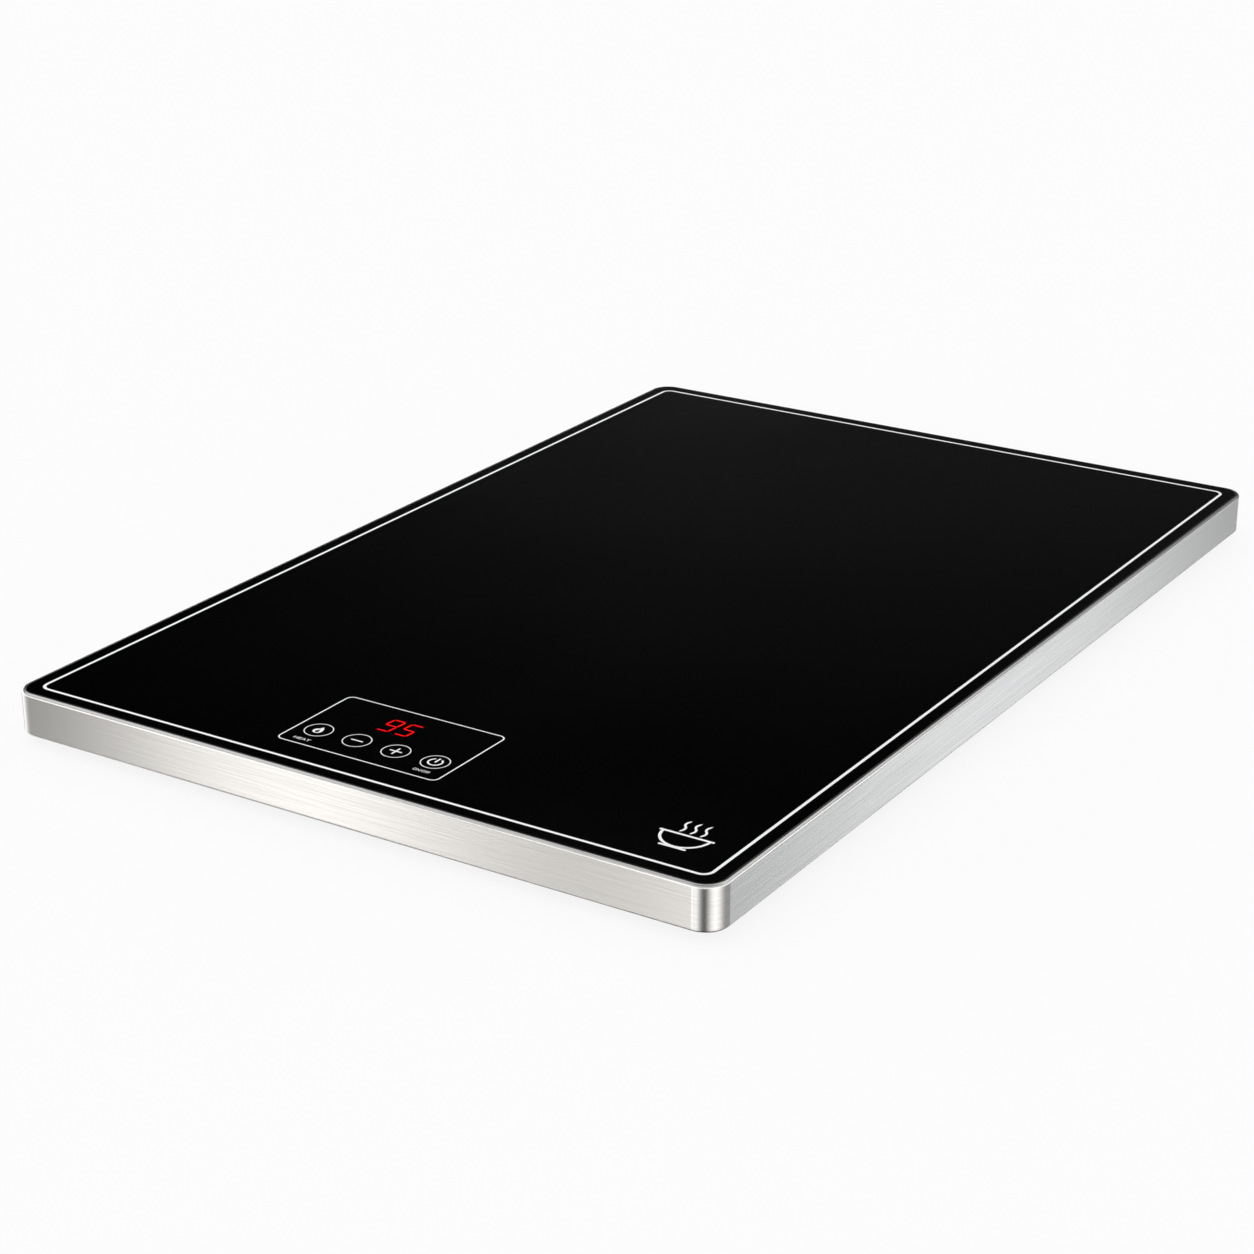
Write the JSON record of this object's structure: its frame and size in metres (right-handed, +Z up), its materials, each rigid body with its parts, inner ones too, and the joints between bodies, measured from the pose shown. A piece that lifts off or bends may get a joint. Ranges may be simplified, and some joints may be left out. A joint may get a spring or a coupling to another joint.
{
  "type": "electric food warmer tray",
  "caption": "Flat rectangular electric warming plate: black glass top in a brushed steel frame, printed touch panel with a red number display near the front edge, rubber feet.",
  "frame": {"origin": "middle of the tray, on the surface that its feet stand on", "axes": "+Z up, +Y from the front edge with the touch panel to the rear edge with the mains inlet, +X to the right along the front edge"},
  "size_m": [0.4, 0.6, 0.028],
  "materials": {
    "brushed_steel": "brushed along its length",
    "black_glass": "gloss",
    "black_silicone": "satin",
    "white_ink": "printed",
    "red_light": "lit",
    "zinc_steel": "galvanised sheet",
    "bright_steel": "plated",
    "black_rubber": "matt",
    "aluminium": "mill",
    "red_silicone": "satin",
    "mineral_wool": "felted",
    "brass": "turned",
    "brown_plastic": "moulded",
    "white_plastic": "moulded",
    "black_plastic": "moulded",
    "green_plastic": "moulded",
    "blue_plastic": "moulded",
    "yellow_plastic": "moulded",
    "green_board": "lacquered",
    "tan_board": "lacquered",
    "copper": "enamelled",
    "sensor_glass": "gloss",
    "wire_brown": "extruded",
    "wire_green": "extruded",
    "wire_white": "extruded"
  },
  "bodies": {
    "tray": {"side_frame": "brushed_steel", "glass_top": "black_glass", "glass_seal": "black_silicone", "border_print": "white_ink", "panel_print": "white_ink", "heat_mark": "white_ink", "bottom_cover": "zinc_steel", "cover_screws": "bright_steel", "foot_front_left": "black_rubber", "foot_front_right": "black_rubber", "foot_rear_left": "black_rubber", "foot_rear_right": "black_rubber", "foot_screws": "bright_steel", "foot_nuts": "bright_steel", "heat_spreader": "aluminium", "heating_cable": "red_silicone", "insulation_mat": "mineral_wool", "heat_shield": "zinc_steel", "shield_spacers": "brass", "shield_screws": "bright_steel", "heat_barrier": "zinc_steel", "barrier_screws": "bright_steel", "thermal_cutout": "brown_plastic", "temperature_sensor": "sensor_glass", "sensor_clip": "aluminium", "plate_screws": "bright_steel", "control_board": "green_board", "control_posts": "brass", "control_screws": "bright_steel", "display_module": "black_plastic", "display_digits": "red_light", "touch_pads": "copper", "controller_chip": "black_plastic", "beeper": "black_plastic", "board_connectors": "white_plastic", "power_board": "tan_board", "power_posts": "brass", "power_screws": "bright_steel", "terminal_block": "green_plastic", "fuse_tube": "sensor_glass", "fuse_clips": "bright_steel", "line_capacitor": "yellow_plastic", "filter_capacitor": "blue_plastic", "transformer": "yellow_plastic", "relay_base": "black_plastic", "relay_coil": "copper", "relay_yoke": "bright_steel", "relay_contacts": "brass", "relay_cover": "blue_plastic", "inlet_housing": "black_plastic", "inlet_pins": "brass", "inlet_studs": "bright_steel", "inlet_nuts": "bright_steel", "mains_wires": "wire_brown", "earth_wire": "wire_green", "earth_bolt": "brass", "heater_leads": "wire_white", "signal_wires": "wire_white", "wire_clips": "white_plastic"},
    "armature": {"relay_armature": "bright_steel"}
  },
  "joints": [
    {"name": "relay_close", "type": "hinge", "parent": "tray", "child": "armature", "pos_m": [0.0838, -0.252, 0.01934], "axis": [0, -1, 0], "range_deg": [0, 4], "stiffness_Nm_per_rad": 0.0005, "springref_deg": -8.59}
  ]
}
